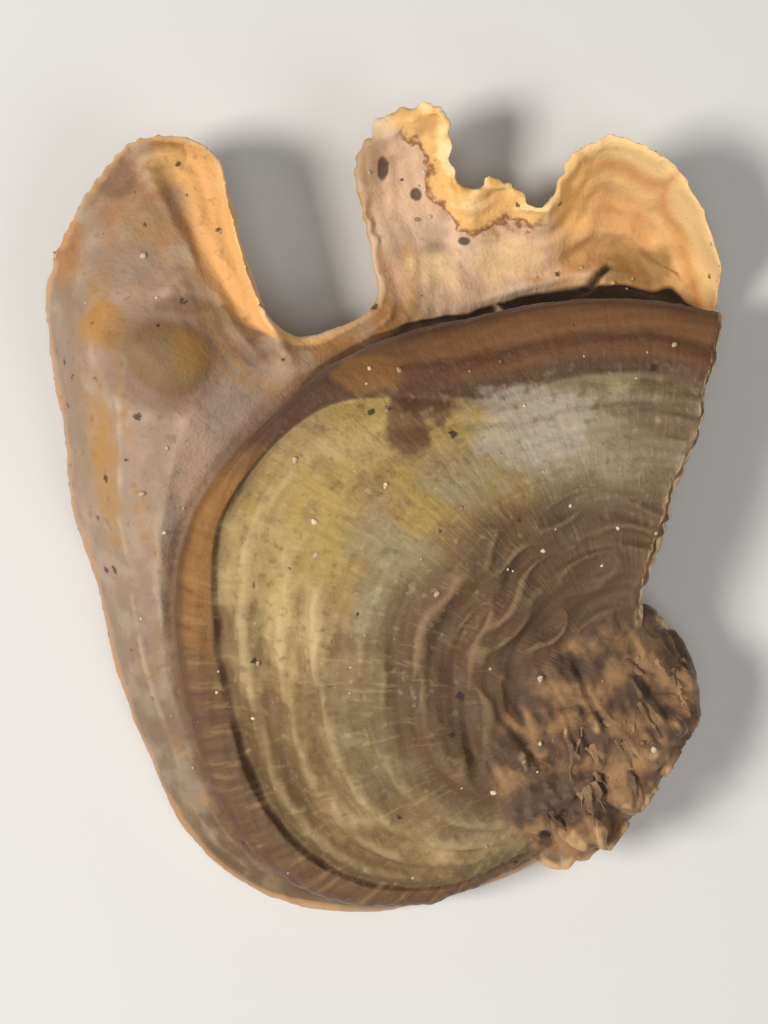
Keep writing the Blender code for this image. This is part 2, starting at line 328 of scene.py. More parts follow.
flesh_level = np.full(count, 0.5)
for number in np.flatnonzero(broken > 0):
    start = (Vector(points[number]) + BEHIND_BREAK) * MM
    above = body_tree.ray_cast(start, Vector((0, 0, 1)))[3]
    below = body_tree.ray_cast(start, Vector((0, 0, -1)))[3]
    if above is None or below is None:
        flesh_level[number] = float(above is None)
    else:
        flesh_level[number] = below / (above + below)
print("Levels in the flesh from", round(flesh_level.min(), 2), "to", round(flesh_level.max(), 2))

# %% [markdown]
# ## Evening out the facets
# The solid's slices still show as steps on the old cap, and the voxels frayed the thin edge. Smoothing only
# there mends both: each point moves to the mean of its neighbours many times. The rings that this takes
# away are put back finer below.

# %% Smoothing by numbers
CAP_ROUNDS = 70
EDGE_ROUNDS = 8


def spread(values, rounds, part=0.5):
    """Moves each value a part of the way to its neighbours' mean, again and again."""
    for _ in range(rounds):
        sums = np.bincount(edge_from, values[edge_to], count) + np.bincount(edge_to, values[edge_from], count)
        values = (1 - part) * values + part * sums / neighbours
    return values


def spread_places(places, rounds, part=0.5):
    """The same for the three numbers of each place."""
    return np.stack([spread(places[:, axis], rounds, part) for axis in range(3)], axis=1)


def put_points(places):
    """Moves the bracket's points to these places, given in millimetres."""
    bracket.data.vertices.foreach_set("co", (places * MM).ravel())
    bracket.data.update()


edge_list = np.empty(len(bracket.data.edges) * 2, int)
bracket.data.edges.foreach_get("vertices", edge_list)
edge_from, edge_to = edge_list.reshape(-1, 2).T
neighbours = np.bincount(edge_from, minlength=count) + np.bincount(edge_to, minlength=count)
cap_top = (~young & ~under & (facing_up > 0.3)) * (1 - foot) * rise(0.12, 0.2, share)
cap_top *= rise(0.985, 0.95, share) * rise(0.3, 0.6, break_across - across + 9 * (along < 0))
near_edge = rise(0.4, 0.15, from_edge) * (1 - foot)
points = spread_places(points, CAP_ROUNDS, 0.5 * cap_top)
points = spread_places(points, EDGE_ROUNDS, 0.5 * near_edge)
put_points(points)
normals = point_values("normal")
print("Evened out:", (cap_top > 0.5).sum(), "cap and", (near_edge > 0.5).sum(), "edge points")

# %% [markdown]
# ## Relief: the old cap
# Real skin has broad rings, fine rings 0.4 mm apart, wavy folds round the core, and fibres that run
# outwards. Each is a height in millimetres at each point. A Displace modifier could read such heights from
# a texture, but numbers follow the map more closely.


# %% Helpers for uneven surfaces
def lumps(places, size=1, seed=0):
    """Smooth noise between about -1 and 1. Size is that of its lumps, in millimetres."""
    return np.array([noise.noise(place) for place in (places / size + seed).tolist()])


def near_line(path, width):
    """1 on a line through these places round the core, fading to 0 at its width."""
    nearest_way = np.full(count, np.inf)
    for start, end in zip(path[:-1], path[1:]):
        run = np.subtract(end, start)
        way = np.stack([across - start[0], along - start[1]], axis=1)
        part = np.clip((way @ run) / (run @ run), 0, 1)
        nearest_way = np.minimum(nearest_way, np.hypot(*(way - part[:, None] * run).T))
    return rise(width, 0, nearest_way)


USUAL_RADIUS = 14

wander = lumps(points, 2.6, 3)
swell = lumps(points, 1.7, 21)
grain = lumps(points, 0.32, 7)
arc = np.radians(turn) * USUAL_RADIUS
flat = np.zeros(count)
fibres = lumps(np.stack([radius / 1.6, arc / 0.22, flat], axis=1), seed=5)
print("Uneven surfaces ready")

# %% Rings, fibres and folds
RING_PLACE = [0.11, 0.22, 0.3, 0.38, 0.45, 0.52, 0.59, 0.66, 0.71, 0.765, 0.81, 0.85, 0.895, 0.94, 0.985]
RING_HEIGHT = [0, 0.04, -0.1, 0.16, -0.14, 0.13, -0.11, 0.13, -0.12, 0.16, -0.14, 0.16, -0.14, 0.08, -0.2]
USUAL_BAND = 0.89
RING_STEP = 0.42
FINE_RING = 0.016
FIBRE = 0.014
GRAIN = 0.012
LAST_RING = RING_PLACE[-1]

ring = share / USUAL_BAND
for _ in range(12):
    ring = share / (USUAL_BAND + (band - USUAL_BAND) * np.clip(ring, 0, 1.1) ** 3)
rings = np.where(ring < LAST_RING, smooth_through(RING_PLACE, RING_HEIGHT, ring + 0.006 * wander), 0)
rings += rise(LAST_RING, 1.01, ring) * 0.14 - 0.2 * (ring >= LAST_RING) * rise(1.01, LAST_RING, ring)
old = np.where((~young) & (~under), 1 - foot, 0)
fine_rings = np.sin(radius * 2 * math.pi / RING_STEP + wander * 2.2)
ring_strength = 0.6 + 0.4 * lumps(points, 4.5, 11)
relief = old * (FINE_RING * fine_rings * ring_strength + FIBRE * fibres + GRAIN * grain + 0.05 * swell)
clear_part = (0.2 + 0.9 * rise(135, 170, turn)) * (0.5 + 0.5 * rise(230, 195, turn))
broken_up = np.clip(0.8 + 0.7 * lumps(points, 3, 13) + 0.9 * lumps(points, 1.2, 15), 0.05, 1.5)
relief += cap_top * rings * clear_part * broken_up
near_core = rise(0.62, 0.42, share) * (turn > 70) * (turn < 250)
folds = 1 - 2 * np.abs(lumps(np.stack([radius / 0.9 + wander * 0.8, arc / 5.4, flat], axis=1), seed=31))
relief += old * near_core * 0.17 * folds
print("Relief of the old cap from", round(relief.min(), 2), "to", round(relief.max(), 2), "mm")

# %% [markdown]
# ## Relief: the young growth
# The young growth is wavy, with rings beside its edge, a crease and a blister on the left lobe, and a
# fold, a hollow and a crack on the right one. At the top the old rim stands clear of the growth under it,
# so a groove is sunk there. How far a point lies inside this gap is kept for the colours, which paint its
# shadow near black as painted shade. The gap is closed where its width is below 0, and a flake bridges it.

# %% Forms of the young growth
FOLD = [(-2.6, 17.6), (-1.2, 18.4), (0.1, 18.3), (1.1, 17.6), (1.9, 16.4)]
HOLLOW = [(-1.8, 17.2), (-0.3, 17.3), (1.2, 16.4)]
CREASE = [(-18.3, 20.3), (-17.3, 18.3), (-16.1, 16.2), (-14.5, 13.9)]
CRACK = [(-2.2, 15.6), (-1.6, 16), (-0.6, 16.9)]
BLISTER = (-18, 13)
GAP_TURN = [77.5, 79, 80.5, 82, 84, 90, 98, 105, 112, 118, 125, 134, 143]
GAP_WIDTH = [-0.4, 0.2, 0.5, 0.75, 0.9, 0.85, 0.72, 0.42, 0.18, 0.22, 0.12, 0.05, -0.4]
HIDDEN_BY_RIM = 0.32
MARGIN_STEP = 0.62
GAP_BRIDGE = (-5.1, 15)

young_top = np.where(young & (facing_up > -0.3), 1, 0)
margin_rings = np.sin(from_edge * 2 * math.pi / MARGIN_STEP + wander * 2.5)
margin_rings *= rise(4.5, 1, from_edge)
torn_part = rise(92, 98, turn) * rise(124, 116, turn)
wave = (0.085 + 0.07 * torn_part) * swell + 0.05 * torn_part * lumps(points, 0.7, 23)
relief += young_top * (wave + 0.014 * grain + 0.012 * fibres + 0.02 * margin_rings)
crack = young_top * near_line(CRACK, 0.24)
from_blister = np.hypot((across - BLISTER[0]) / 1.2, (along - BLISTER[1]) / 0.95) + 0.5 * wander
blister_ring = rise(0.8, 0, np.abs(from_blister - 1.8))
blister = rise(1.7, 0.4, from_blister) - 0.35 * blister_ring
crease = young_top * near_line(CREASE, 0.6)
relief += young_top * 0.24 * blister - 0.2 * crease - 0.3 * crack * rise(1.05, 1.08, share)
fold = near_line(FOLD, 0.6) * (0.3 + 0.7 * rise(-2.8, -0.6, across))
relief += young_top * (0.32 * fold - 0.16 * near_line(HOLLOW, 0.9))
gap_width = np.interp(turn, GAP_TURN, GAP_WIDTH)
past_rim = radius - rim - HIDDEN_BY_RIM + 0.12 * lumps(points, 0.8, 71)
gap = rise(-0.8, -0.2, past_rim) * rise(0.3, -0.1, past_rim - gap_width)
gap *= rise(76, 82, turn) * rise(120, 98, turn)
relief -= young_top * gap * (0.6 - 0.25 * rise(106, 90, turn))
from_bridge = np.hypot(across - GAP_BRIDGE[0], 0.5 * (along - GAP_BRIDGE[1])) + 0.3 * grain
inside_gap = np.clip(np.minimum(gap_width - past_rim, from_bridge - 0.22), -1, 1)
print("Deepest place of the gap:", round(relief.min(), 2), "mm")

# %% [markdown]
# ## Relief: the torn flesh and the pore side
# The foot tore off its wood along the fibres, so its furrows run out of the core towards the tear. The
# broken side is rough too, and the pore side only swells a little. The flat cut and the places that touch
# the floor keep their level.

# %% Torn flesh and pore side
TEAR_TURN = math.radians(-64)

down_tear, over_tear = along_turn(across, along, TEAR_TURN)
furrow_place = np.stack([down_tear / 2.4, (over_tear + 0.35 * wander) / 0.62, points[:, 2] / 1.1], axis=1)
furrows = 1 - 2 * np.abs(lumps(furrow_place, seed=41))
small_furrows = lumps(furrow_place * (1.6, 2.2, 1.8), seed=43)
torn = lumps(points * (1, 1, 2.2), 0.75, 41) + 0.6 * lumps(points * (1, 1, 2), 0.33, 43)
relief += foot * (0.15 * furrows + 0.11 * small_furrows + 0.07 * torn) + broken * 0.1 * torn
relief += under * (0.05 * lumps(points, 2.2, 61) + GRAIN * grain)
resting = points[:, 2] < 0.03
relief[resting | flat_cut] = 0
print("Relief from", round(relief.min(), 2), "to", round(relief.max(), 2), "mm")

# %% [markdown]
# ## Ragged edges
# The edge is thin, so raising its points would only fray it. Instead all points near it move level, in or
# out together, and the sheet keeps its thickness. The torn part between the lobes is bitten most, with two
# larger pieces gone.

# %% Bite the edge and move the points
EDGE_REACH = 0.7
TORN_OFF = [(-10.9, 21.9, 1.2, 0.5), (-6.7, 20.9, 0.8, 0.15)]

outwards = np.stack([spread(edge_way[:, axis], 6) for axis in range(2)], axis=1)
outwards /= np.maximum(np.hypot(*outwards.T), 0.2)[:, None]
level_places = points * (1, 1, 0)
bites = lumps(level_places, 1.3, 51) + (0.25 + 0.55 * torn_part) * lumps(level_places, 0.45, 53)
bite_depth = 0.08 + 0.26 * torn_part + 0.08 * broken
bite_depth *= (1 - foot) * rise(EDGE_REACH, 0.1, from_edge) * ~resting
moved = points + normals * relief[:, None]
inwards = bite_depth * (0.25 - bites)
for x, y, reach, depth in TORN_OFF:
    torn_here = rise(reach, 0.2 * reach, np.hypot(across - x, along - y))
    inwards += depth * torn_here * rise(1.4, 0.1, from_edge)
moved[:, :2] -= outwards * inwards[:, None]
moved[:, 2] = np.maximum(moved[:, 2], 0)
over_cut = np.maximum(towards_cut(moved[:, 0], moved[:, 1]) - CUT_DISTANCE, 0)
moved[:, :2] -= over_cut[:, None] * (math.cos(CUT_TURN), math.sin(CUT_TURN))
put_points(moved)
choose(bracket)
bpy.ops.object.shade_smooth()
print("Bites up to", round(inwards.max(), 2), "mm")

# %% [markdown]
# ## Ridges and hollows
# Ridges are painted pale, partly as wear and partly as painted highlight, and hollows dark as painted
# shade. A point that stands above its own smoothed place is on a ridge, and one below it is in a hollow.
# Drying made the relief crisper, so each point of the skin then moves a little further from its smoothed
# place.

# %% Ridge map
SPREADS = 45
SHARPER = 0.5

even = spread_places(moved, SPREADS)
skin_normals = point_values("normal")
ridge = ((moved - even) * skin_normals).sum(axis=1)
inside_edge = young_top * rise(0.3, 0.8, from_edge)
raised = np.clip(ridge, -0.12, 0.12) * SHARPER * (old + 0.5 * inside_edge)
raised[resting | flat_cut] = 0
moved += skin_normals * spread(raised, 1)[:, None]
put_points(moved)
print("Ridges and hollows from", round(ridge.min(), 2), "to", round(ridge.max(), 2), "mm")

# %% Keep the map on the mesh
growth_map = {
    "share": share, "in_band": in_band, "turn": turn, "radius": radius, "from_edge": from_edge,
    "young": spread(young.astype(float), 1), "under": spread(under.astype(float), 1),
    "foot": foot, "broken": broken, "edge_right": spread(edge_way[:, 0], 5), "crack": crack,
    "crease": np.maximum(crease, 0.8 * blister_ring * (share > 1)),
    "blister": rise(1.75, 1.35, from_blister) * (share > 1),
    "flesh_level": spread(flesh_level, 1), "inside_gap": inside_gap, "ridge": ridge,
}
for name, values in growth_map.items():
    stored = bracket.data.attributes.new(name, "FLOAT", "POINT")
    stored.data.foreach_set("value", np.asarray(values, np.float32))
print("The map is on the mesh:", list(growth_map))

# %% [markdown]
# ## Fewer faces where the skin is plain
# Plain skin needs fewer faces. A Decimate modifier merges them where the surface hardly bends, and the
# stored numbers stay with the points.

# %% Thin out the mesh
MOST_TRIANGLES = 196000

before = sum(len(face.vertices) - 2 for face in bracket.data.polygons)
finish_modifier(bracket, "DECIMATE", ratio=MOST_TRIANGLES / before, use_collapse_triangulate=True)
print("Triangles:", before, "before and", len(bracket.data.polygons), "now")

# %% [markdown]
# ## Torn splinters
# Where the bracket tore off its wood, thin splinters of flesh lie along the foot's furrows, and some stand
# up. Each starts as a narrow grid, is cut to a ragged point and bent, and gets its thickness from a
# Solidify modifier.

# %% One torn splinter
SPLINTER_THICK = 0.08 * MM


def torn_splinter(width, length, curl, seed):
    """A ragged, pointed splinter that lies along +Y from the origin and curls up."""
    deselect()
    bpy.ops.mesh.primitive_grid_add(x_subdivisions=7, y_subdivisions=14, size=MM)
    splinter = bpy.context.active_object
    bpy.ops.object.mode_set(mode="EDIT")
    bpy.ops.mesh.select_all(action="SELECT")
    bpy.ops.transform.translate(value=(0, 0.5 * MM, 0))
    bpy.ops.transform.resize(value=(width, length, 1), center_override=(0, 0, 0))
    bpy.ops.mesh.select_all(action="DESELECT")
    bpy.ops.object.mode_set(mode="OBJECT")
    for point in splinter.data.vertices:
        side, out, _ = point.co / MM
        part = out / length
        narrow = width * (0.5 - 0.42 * part**1.6) + 0.1 * noise.noise((3 * side, 4 * out, seed))
        point.select = abs(side) > max(narrow, 0.08 * width)
    bpy.ops.object.mode_set(mode="EDIT")
    bpy.ops.mesh.delete(type="VERT")
    bpy.ops.object.mode_set(mode="OBJECT")
    for point in splinter.data.vertices:
        side, out, _ = point.co / MM
        sway = 0.1 * noise.noise((1.4 * out, seed, 3))
        lift = curl * out**2 + 0.8 * side**2 + 0.08 * noise.noise((2.5 * side, 2.4 * out, seed + 9))
        point.co += Vector((sway, 0, lift)) * MM
    finish_modifier(splinter, "SOLIDIFY", thickness=SPLINTER_THICK, offset=0)
    finish_modifier(splinter, "SUBSURF", levels=1, render_levels=1)
    return splinter


print("Splinters are", SPLINTER_THICK / MM, "mm thick")

# %% Splinters on the foot
SPLINTER_COUNT = 34
rng = random.Random(12)
skin_tree = BVHTree.FromObject(bracket, bpy.context.evaluated_depsgraph_get())


def on_top(x, y):
    """The bracket's highest level at a place in millimetres, or nothing."""
    hit = skin_tree.ray_cast(Vector((x, y, 20)) * MM, Vector((0, 0, -1)))[0]
    return None if hit is None else hit.z / MM


def turned(thing, place, heading, tilt):
    """Moves a piece's own mesh to a place, heading and tilt, and leaves the object at the origin."""
    way = Matrix.Translation(Vector(place) * MM) @ Matrix.Rotation(math.radians(heading - 90), 4, "Z")
    thing.data.transform(way @ Matrix.Rotation(math.radians(tilt), 4, "X"))


def joined(things, name):
    """Makes one smooth piece of many."""
    deselect()
    for thing in things:
        thing.select_set(True)
    bpy.context.view_layer.objects.active = things[0]
    bpy.ops.object.join()
    things[0].name = name
    bpy.ops.object.shade_smooth()
    return things[0]


splinters = []
while len(splinters) < SPLINTER_COUNT:
    x, y = CORE[0] + rng.uniform(-4.4, 2), CORE[1] + rng.uniform(-5.6, 1.4)
    heading = rng.uniform(-100, -35)
    length = rng.uniform(0.7, 1.7)
    root = on_top(x, y)
    end_x = x + length * math.cos(math.radians(heading))
    end_y = y + length * math.sin(math.radians(heading))
    end = on_top(end_x, end_y)
    to_tear = towards_cut(x, y)
    if root is None or root < 0.8 or rng.uniform(-2.5, 2.5) > to_tear:
        continue
    if end is None or towards_cut(end_x, end_y) > CUT_DISTANCE - 0.3:
        continue
    slope = math.degrees(math.atan2(end - root, length))
    splinter = torn_splinter(rng.uniform(0.25, 0.6), length, rng.uniform(-0.1, 0.2), rng.uniform(0, 50))
    turned(splinter, (x, y, root - 0.04), heading, max(slope, -30) + rng.uniform(0, 12))
    splinters.append(splinter)
torn_splinters = joined(splinters, "torn_splinters")
print("Splinters:", SPLINTER_COUNT, "with", len(torn_splinters.data.polygons), "faces")

# %% [markdown]
# ## Crumbs
# Dried flesh crumbles where it is torn, so grains of it lie on the bracket. A grain starts as an icosphere,
# is flattened and made uneven, and sits a little into the skin under it.

# %% Crumbs on the skin
CRUMB_COUNT = 90
rng = random.Random(7)


def crumb(size, seed):
    """A flattened uneven grain at the origin."""
    deselect()
    bpy.ops.mesh.primitive_ico_sphere_add(subdivisions=2, radius=size * MM)
    grain_piece = bpy.context.active_object
    bpy.ops.object.mode_set(mode="EDIT")
    bpy.ops.transform.resize(value=(1, 0.8, 0.6))
    bpy.ops.object.mode_set(mode="OBJECT")
    for point in grain_piece.data.vertices:
        point.co *= 1 + 0.45 * noise.noise(point.co / (size * MM) * 1.3 + Vector((seed, 0, 0)))
    return grain_piece


crumbs = []
while len(crumbs) < CRUMB_COUNT:
    x, y = rng.uniform(-13, 13), rng.uniform(-15, 15)
    z = on_top(x, y)
    if z is None or abs((on_top(x + 0.3, y) or 0) - z) > 0.3 or abs((on_top(x, y + 0.3) or 0) - z) > 0.3:
        continue
    size = 0.05 + 0.09 * rng.random() ** 2
    grain_piece = crumb(size, rng.uniform(0, 90))
    turned(grain_piece, (x, y, z + 0.3 * size), rng.uniform(0, 360), rng.uniform(-20, 20))
    crumbs.append(grain_piece)
loose_crumbs = joined(crumbs, "crumbs")
print("Crumbs:", CRUMB_COUNT, "with", len(loose_crumbs.data.polygons), "faces")

# %% [markdown]
# ## Tools for the skin's colours
# The material is built in layers, from the old cap to the torn flesh. Small functions keep that readable:
# each adds nodes and hands back an output. Colours are written as a painter notes them, from 0 to 255.

# %% Small functions for nodes
skin = bpy.data.materials.new("dried_skin")
skin.use_nodes = True
nodes = skin.node_tree.nodes


def node(kind, sources, tree=nodes, **settings):
    """A new node with its inputs fed and its settings made."""
    thing = tree.new("ShaderNode" + kind)
    for name, value in settings.items():
        setattr(thing, name, value)
    feed(thing.inputs, sources)
    return thing


def map_of(name):
    """Reads one of the maps that the mesh carries."""
    return node("Attribute", {}, attribute_name=name).outputs["Fac"]


def count_up(operation, first, second):
    """One step of arithmetic with two values."""
    return node("Math", {0: first, 1: second}, operation=operation).outputs[0]


def plus(total, *values):
    for value in values:
        total = count_up("ADD", total, value)
    return total


def times(product, *values):
    for value in values:
        product = count_up("MULTIPLY", product, value)
    return product


def between(value, start, end, low=0, high=1):
    """Low up to the start, high from the end on, and a soft step between."""
    sources = {"Value": value, "From Min": start, "From Max": end, "To Min": low, "To Max": high}
    return node("MapRange", sources, interpolation_type="SMOOTHSTEP").outputs["Result"]


def window(value, start, full, fade, end):
    """1 from full to fade, and 0 before the start and after the end."""
    return times(between(value, start, full), between(value, end, fade))


# %% Small functions for colours
def paint(red, green, blue):
    """A colour as light, from its three numbers as seen on a screen."""
    return tuple((part / 255) ** 2.2 for part in (red, green, blue)) + (1,)


def zones(value, stops, start=0, end=1):
    """Colours along a value: each stop is a place between start and end, and its colour."""
    step = node("MapRange", {"Value": value, "From Min": start, "From Max": end})
    thing = node("ValToRGB", {"Fac": step.outputs["Result"]})
    line = thing.color_ramp
    for _ in stops[2:]:
        line.elements.new(0.5)
    for element, (place, _) in zip(line.elements, stops):
        element.position = (place - start) / (end - start)
    for element, (_, colour) in zip(line.elements, stops):
        element.color = paint(*colour)
    return thing.outputs["Color"]


def layer(base, over, amount, how="MIX"):
    """Lays one colour over another by an amount. A Mix node's colour inputs are 6 and 7."""
    sources = {0: amount, 6: base, 7: over}
    return node("Mix", sources, data_type="RGBA", blend_type=how, clamp_factor=True).outputs[2]


def coats(base, *rows):
    """Lays tones over a colour one after another, each by its own amount."""
    for tone, amount in rows:
        base = layer(base, paint(*tone), amount)
    return base


print("Functions for nodes and colours ready")

# %% Noise and marks
MARK_EDGE = 0.8

in_metres = node("TexCoord", {}).outputs["Object"]
here = node("VectorMath", {0: in_metres, 1: (1 / MM, 1 / MM, 1 / MM)}, operation="MULTIPLY").outputs["Vector"]


def moved_place(place, seed):
    """The same place in another part of the noise."""
    return node("VectorMath", {0: place, 1: (17.3 * seed, 9.1 * seed, 5.7 * seed)}).outputs["Vector"]


def clouds(size, detail=2, place=here, seed=0):
    """Soft noise from 0 to 1. Size is that of its lumps, in millimetres."""
    sources = {"Vector": moved_place(place, seed), "Scale": 1 / size, "Detail": detail}
    return node("TexNoise", sources).outputs["Fac"]


def place_from(first, part, second, other_part):
    """A place to read noise at, from parts of two values of the growth map."""
    return node("CombineXYZ", {"X": times(first, part), "Y": times(second, other_part)}).outputs["Vector"]


wobble = plus(clouds(2.2, 2, seed=1), -0.5)
broad = clouds(2.4, 2, seed=2)
middle = clouds(1.3, 3, seed=3)
fine = clouds(0.42, 3, seed=6)
uneven_outline = plus(times(plus(middle, -0.5), 1.2), times(plus(fine, -0.5), 0.4))


def unsteady(value, amount):
    """The value with a little noise on it, so that no border looks drawn."""
    return plus(value, times(wobble, amount))


def mark(x, y, width, height, fade):
    """1 at a place round the core and 0 past its width and height, with an uneven outline."""
    to_middle = (-(CORE[0] + x) / width, -(CORE[1] + y) / height, 0)
    sources = {0: here, 1: (1 / width, 1 / height, 0), 2: to_middle}
    centred = node("VectorMath", sources, operation="MULTIPLY_ADD").outputs[0]
    reach = node("VectorMath", {0: centred}, operation="LENGTH").outputs["Value"]
    return between(plus(reach, uneven_outline), MARK_EDGE + fade, MARK_EDGE - fade)


def marked(base, rows, fade):
    """Lays marks over a colour. A row is a place, a width, a height, a tone and a strength."""
    return coats(base, *[(tone, times(mark(*place, fade), strength)) for *place, tone, strength in rows])


print("Nodes so far:", len(nodes))

# %% [markdown]
# ## The old cap
# A turkey tail is named for these zones, each a colour at its share of the way to the rim. The left of this
# cap is olive and ochre and its top right grey, so there are two rows of zones, and the turn round the core
# decides between them. Patches of a few more tones lie over them. The dark one low on the left is partly
# painted shadow.

# %% Zones of the old cap
OLIVE_SIDE = [
    (0, (88, 65, 46)), (0.3, (97, 72, 49)), (0.46, (98, 73, 49)), (0.52, (114, 90, 59)),
    (0.57, (138, 113, 74)), (0.66, (152, 126, 76)), (0.74, (164, 136, 82)), (0.82, (178, 151, 99)),
    (0.89, (166, 140, 92)), (1, (152, 124, 78)),
]
GREY_SIDE = [
    (0, (88, 65, 46)), (0.3, (96, 71, 49)), (0.48, (100, 77, 55)), (0.545, (120, 101, 77)),
    (0.6, (140, 124, 100)), (0.7, (146, 130, 107)), (0.76, (146, 129, 104)), (0.79, (166, 148, 106)),
    (0.83, (120, 98, 74)), (1, (120, 98, 74)),
]

share_of = map_of("share")
turn_of = map_of("turn")
radius_of = map_of("radius")
share_here = unsteady(share_of, 0.1)
turn_here = unsteady(turn_of, 14)
olive_side = zones(plus(share_here, between(turn_here, 148, 178, 0, -0.05)), OLIVE_SIDE)
grey_side = zones(share_here, GREY_SIDE)
cap_colour = layer(olive_side, grey_side, between(unsteady(turn_of, 34), 120, 115))
print("Zones:", len(OLIVE_SIDE), "olive and", len(GREY_SIDE), "grey")

# %% Patches over the zones
olive = times(window(turn_here, 112, 124, 150, 168), window(share_of, 0.5, 0.62, 0.9, 0.95))
beige = times(window(turn_here, 158, 172, 225, 240), window(share_of, 0.55, 0.66, 0.9, 0.95))
khaki = times(window(share_here, 0.52, 0.58, 0.64, 0.74), between(broad, 0.62, 0.42))
# Darker low on the left: partly the cap's own tone, partly a painted shadow.
low_side_and_shadow = plus(between(broad, 0.3, 0.5, 0.25, 0.75), between(share_of, 0.76, 0.88, 0, 0.45))
low_side_and_shadow = times(low_side_and_shadow, between(turn_here, 158, 184), window(share_of, 0.5, 0.6, 0.97, 1))
dirt = times(between(middle, 0.5, 0.34), between(share_of, 0.45, 0.6))
cap_colour = coats(
    cap_colour,
    ((170, 140, 72), times(olive, between(broad, 0.4, 0.6), 0.65)),
    ((196, 172, 126), times(beige, between(middle, 0.4, 0.65), 0.7)),
    ((150, 136, 104), times(khaki, 0.6)),
    ((114, 90, 54), times(low_side_and_shadow, 0.95)),
    ((112, 88, 58), times(dirt, 0.45)),
)
print("Patches of 5 tones laid over the zones")

# %% [markdown]
# ## The rim band
# The rim has its own band: brown at the top, nearly black-brown where it is narrow, and orange and mottled
# on the left. A dark line parts it from the zones inside. The marks are a dark tongue at the upper left
# with orange beside it, pale and brown parts of the grey zone, and a worn ochre part on the left.

# %% Rim band
TURN_RANGE = (60, 260)
RIM_BROWN = (124, 86, 54)
DARK_BROWN = (90, 61, 41)
ORANGE_BROWN = (144, 99, 51)
DULL_BROWN = (104, 78, 51)
BAND_ROUND = [
    (70, RIM_BROWN), (123, RIM_BROWN), (132, DARK_BROWN), (143, DARK_BROWN), (153, ORANGE_BROWN),
    (168, ORANGE_BROWN), (182, DULL_BROWN), (250, DULL_BROWN),
]
BAND_RINGS = [
    (0, (170, 150, 136)), (0.16, (200, 184, 170)), (0.3, (232, 222, 212)), (0.44, (186, 168, 154)),
    (0.54, (160, 140, 124)), (0.66, (255, 250, 244)), (0.84, (244, 236, 226)), (1, (140, 116, 98)),
]

in_band_of = map_of("in_band")
band_here = unsteady(in_band_of, 0.22)
band_colour = zones(turn_here, BAND_ROUND, *TURN_RANGE)
wide_band = between(turn_of, 132, 120)
band_colour = layer(band_colour, zones(band_here, BAND_RINGS), times(wide_band, 0.85), "MULTIPLY")
cap_colour = layer(cap_colour, band_colour, between(band_here, -0.05, 0.05))
line_here = count_up("DIVIDE", plus(in_band_of, times(wide_band, -0.14)), plus(times(wide_band, 0.08), 0.14))
mottle = clouds(1, 2, place_from(radius_of, 0.5, turn_of, 0.85), seed=21)
mottled = times(window(turn_of, 150, 168, 230, 246), between(in_band_of, -0.3, 0))
outer_line = times(window(in_band_of, 0.74, 0.92, 1.1, 1.2), between(turn_of, 150, 165))
cap_colour = coats(
    cap_colour,
    ((84, 60, 40), times(window(line_here, -1.2, -0.4, 0.25, 1.1), 0.85)),
    (DARK_BROWN, times(between(mottle, 0.5, 0.68), mottled, 0.6)),
    ((180, 142, 94), times(between(mottle, 0.46, 0.26), mottled, 0.35)),
    (DARK_BROWN, times(outer_line, 0.6)),
)
print("The band has", len(BAND_ROUND), "colours round the rim")

# %% Marks on the old cap
PALE_GREY = (176, 164, 144)
GREY_BROWN = (112, 88, 66)
WORN_OCHRE = (210, 180, 124)
CAP_MARKS = [
    (-4, 10.3, 2.7, 1.8, PALE_GREY, 0.65), (1.5, 11.1, 2.6, 1.7, GREY_BROWN, 0.7),
    (0.8, 9.9, 2.4, 1.2, GREY_BROWN, 0.45), (-7.9, 11.5, 1.5, 1.3, DARK_BROWN, 0.85),
    (-8.8, 10.2, 1, 1.6, DARK_BROWN, 0.8), (-10.2, 12.3, 1.7, 0.9, ORANGE_BROWN, 0.6),
    (-13.1, 2.6, 1.5, 2.4, WORN_OCHRE, 0.45),
]

cap_colour = marked(cap_colour, CAP_MARKS, 0.2)
print("Marks on the cap:", len(CAP_MARKS))

# %% [markdown]
# ## Wear and painted shade on the cap
# Hairs lie outwards, so fine streaks run from the core to the rim. By the ridge map, ridges are painted
# pale, partly as wear and partly as painted highlight, and hollows dark as painted shade. Pin-sized dark
# specks are the mouths of insect holes and old dirt.

# %% Streaks, wear, painted shade and specks
SPECK_STEP = 1.5
SPECK_SIZE = 0.2

streaks = clouds(1, 2, place_from(radius_of, 0.9, turn_of, 0.9), seed=5)
far_out = times(between(radius_of, 4, 9), between(in_band_of, 0.5, -0.2))
ridge_of = map_of("ridge")
on_ridge = between(unsteady(ridge_of, 0.04), 0.02, 0.1)
hollow_shade = between(unsteady(ridge_of, 0.04), -0.02, -0.12)
specks = node("TexVoronoi", {"Vector": moved_place(here, 2), "Scale": 1 / SPECK_STEP})
chance = node("SeparateColor", {"Color": specks.outputs["Color"]}).outputs["Red"]
from_speck = plus(specks.outputs["Distance"], times(plus(clouds(0.13, 1, seed=2), -0.5), 0.16))
from_speck = count_up("SUBTRACT", from_speck, times(chance, SPECK_SIZE / SPECK_STEP))
pin_specks = between(from_speck, 0.02, -0.03)
cap_colour = coats(
    cap_colour,
    ((214, 190, 140), times(between(streaks, 0.54, 0.74), far_out, 0.14)),
    ((84, 62, 42), times(between(streaks, 0.46, 0.27), far_out, 0.16)),
)
